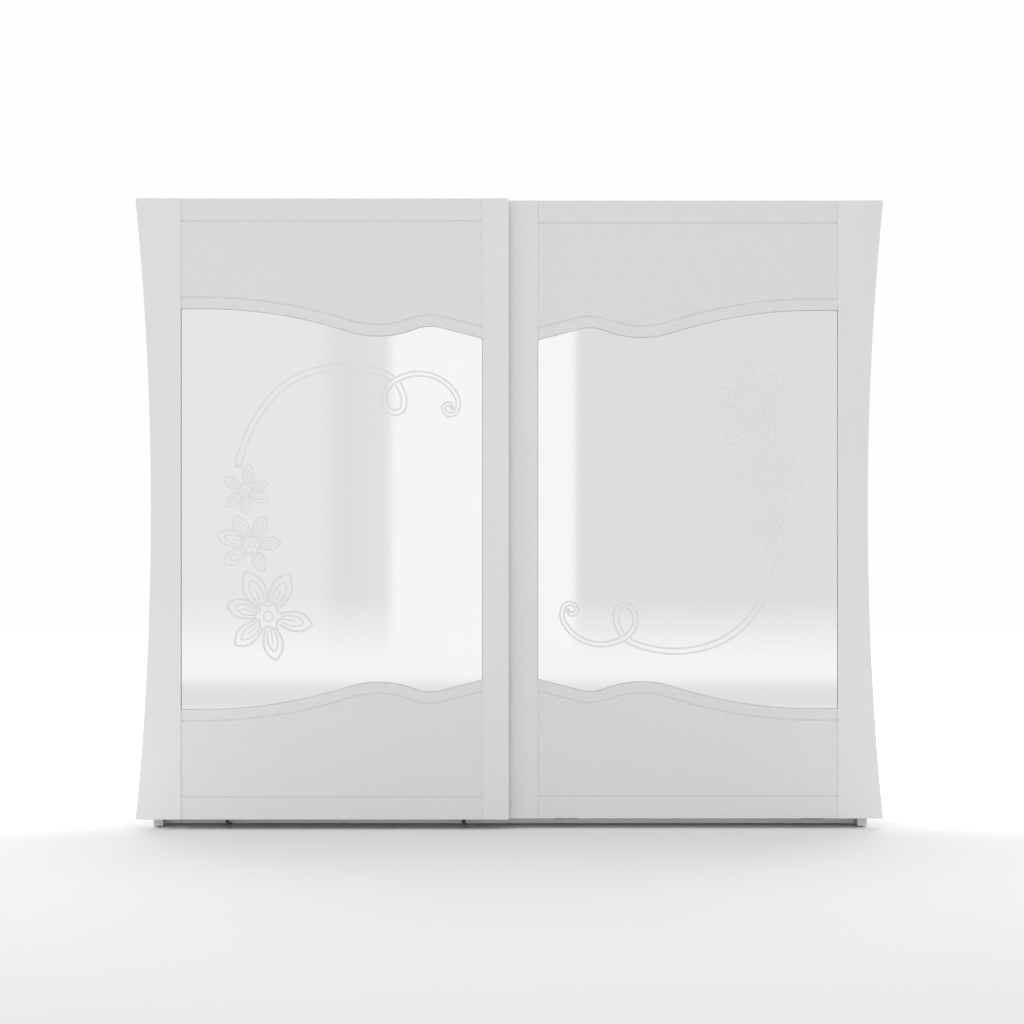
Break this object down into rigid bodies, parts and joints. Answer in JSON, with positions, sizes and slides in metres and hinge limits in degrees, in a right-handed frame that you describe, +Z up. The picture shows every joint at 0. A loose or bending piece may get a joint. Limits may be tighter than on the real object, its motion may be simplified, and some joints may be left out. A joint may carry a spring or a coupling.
{
  "type": "sliding door wardrobe",
  "caption": "Wide wardrobe with two shaped white sliding doors, each with a scalloped mirror etched with a flower scroll, on a double track over two hanging bays.",
  "frame": {"origin": "on the floor, at the middle of the overall width and depth", "axes": "+X to the right as seen from the front, -Y out of the front, +Z up"},
  "size_m": [2.85, 0.69, 2.405],
  "materials": {
    "white_lacquer": "satin white lacquer on shaped fibreboard, fine orange-peel texture",
    "white_board": "white melamine faced chipboard",
    "white_backing": "white faced fibreboard",
    "mirror": "silvered float glass, partly etched",
    "foam_tape": "white foam mounting tape",
    "aluminium": "clear anodised extrusion",
    "black_steel": "black powder coat",
    "zinc_steel": "zinc plated steel",
    "chrome": "polished chrome plate",
    "nylon": "natural nylon",
    "dark_plastic": "moulded black plastic",
    "rubber": "black rubber",
    "brush_pile": "grey brush pile on a plastic strip"
  },
  "bodies": {
    "carcass": {"back_joint_strip": "dark_plastic", "bottom_panel": "white_board", "bottom_track": "aluminium", "cam_bolts": "zinc_steel", "cam_housings": "zinc_steel", "divider": "white_board", "divider_screws": "zinc_steel", "end_stops": "rubber", "floor_glides": "rubber", "front_plinth": "white_board", "left_back_panel": "white_backing", "left_hanging_rail": "chrome", "left_hat_shelf": "white_board", "left_side_panel": "white_board", "levelling_feet": "dark_plastic", "rail_hooks": "chrome", "rail_sockets": "chrome", "rear_plinth": "white_board", "right_back_panel": "white_backing", "right_hanging_rail": "chrome", "right_hat_shelf": "white_board", "right_side_panel": "white_board", "shelf_pins": "zinc_steel", "top_panel": "white_board", "top_track": "aluminium", "track_screws": "zinc_steel"},
    "left_door": {"left_door_backing": "white_backing", "left_door_dust_brush": "brush_pile", "left_door_guide_pins": "zinc_steel", "left_door_guides": "black_steel", "left_door_hangers": "black_steel", "left_door_inner_stile": "white_lacquer", "left_door_lower_panel": "white_lacquer", "left_door_mirror": "mirror", "left_door_mirror_tape": "foam_tape", "left_door_outer_stile": "white_lacquer", "left_door_screws": "zinc_steel", "left_door_upper_panel": "white_lacquer", "left_door_wheel_axles": "zinc_steel"},
    "right_door": {"right_door_backing": "white_backing", "right_door_dust_brush": "brush_pile", "right_door_guide_pins": "zinc_steel", "right_door_guides": "black_steel", "right_door_hangers": "black_steel", "right_door_inner_stile": "white_lacquer", "right_door_lower_panel": "white_lacquer", "right_door_mirror": "mirror", "right_door_mirror_tape": "foam_tape", "right_door_outer_stile": "white_lacquer", "right_door_screws": "zinc_steel", "right_door_upper_panel": "white_lacquer", "right_door_wheel_axles": "zinc_steel"},
    "left_door_inner_roller": {"left_door_inner_roller": "nylon"},
    "left_door_inner_wheel": {"left_door_inner_wheel": "nylon"},
    "left_door_outer_roller": {"left_door_outer_roller": "nylon"},
    "left_door_outer_wheel": {"left_door_outer_wheel": "nylon"},
    "right_door_inner_roller": {"right_door_inner_roller": "nylon"},
    "right_door_inner_wheel": {"right_door_inner_wheel": "nylon"},
    "right_door_outer_roller": {"right_door_outer_roller": "nylon"},
    "right_door_outer_wheel": {"right_door_outer_wheel": "nylon"}
  },
  "joints": [
    {"name": "left_door_slide", "type": "slide", "parent": "carcass", "child": "left_door", "axis": [1, 0, 0], "range_m": [0, 1.33]},
    {"name": "right_door_slide", "type": "slide", "parent": "carcass", "child": "right_door", "axis": [1, 0, 0], "range_m": [-1.33, 0]},
    {"name": "left_door_outer_wheel_turn", "type": "hinge", "parent": "left_door", "child": "left_door_outer_wheel", "pos_m": [-1.18, -0.2, 2.3803], "axis": [0, 1, 0], "continuous": true},
    {"name": "left_door_outer_roller_turn", "type": "hinge", "parent": "left_door", "child": "left_door_outer_roller", "pos_m": [-1.079, -0.219, 0.068], "axis": [0, 0, 1], "continuous": true},
    {"name": "left_door_inner_wheel_turn", "type": "hinge", "parent": "left_door", "child": "left_door_inner_wheel", "pos_m": [-0.18, -0.2, 2.3803], "axis": [0, 1, 0], "continuous": true},
    {"name": "left_door_inner_roller_turn", "type": "hinge", "parent": "left_door", "child": "left_door_inner_roller", "pos_m": [-0.178, -0.219, 0.068], "axis": [0, 0, 1], "continuous": true},
    {"name": "right_door_outer_wheel_turn", "type": "hinge", "parent": "right_door", "child": "right_door_outer_wheel", "pos_m": [1.18, -0.243, 2.3803], "axis": [0, 1, 0], "continuous": true},
    {"name": "right_door_outer_roller_turn", "type": "hinge", "parent": "right_door", "child": "right_door_outer_roller", "pos_m": [1.158, -0.241, 0.068], "axis": [0, 0, 1], "continuous": true},
    {"name": "right_door_inner_wheel_turn", "type": "hinge", "parent": "right_door", "child": "right_door_inner_wheel", "pos_m": [0.18, -0.243, 2.3803], "axis": [0, 1, 0], "continuous": true},
    {"name": "right_door_inner_roller_turn", "type": "hinge", "parent": "right_door", "child": "right_door_inner_roller", "pos_m": [0.214, -0.241, 0.068], "axis": [0, 0, 1], "continuous": true}
  ],
  "couplings": [
    {"joint": "left_door_outer_wheel_turn", "follows": "left_door_slide", "rad_per_m": 83.333},
    {"joint": "left_door_outer_roller_turn", "follows": "left_door_slide", "rad_per_m": 125},
    {"joint": "left_door_inner_wheel_turn", "follows": "left_door_slide", "rad_per_m": 83.333},
    {"joint": "left_door_inner_roller_turn", "follows": "left_door_slide", "rad_per_m": 125},
    {"joint": "right_door_outer_wheel_turn", "follows": "right_door_slide", "rad_per_m": 83.333},
    {"joint": "right_door_outer_roller_turn", "follows": "right_door_slide", "rad_per_m": 125},
    {"joint": "right_door_inner_wheel_turn", "follows": "right_door_slide", "rad_per_m": 83.333},
    {"joint": "right_door_inner_roller_turn", "follows": "right_door_slide", "rad_per_m": 125}
  ]
}
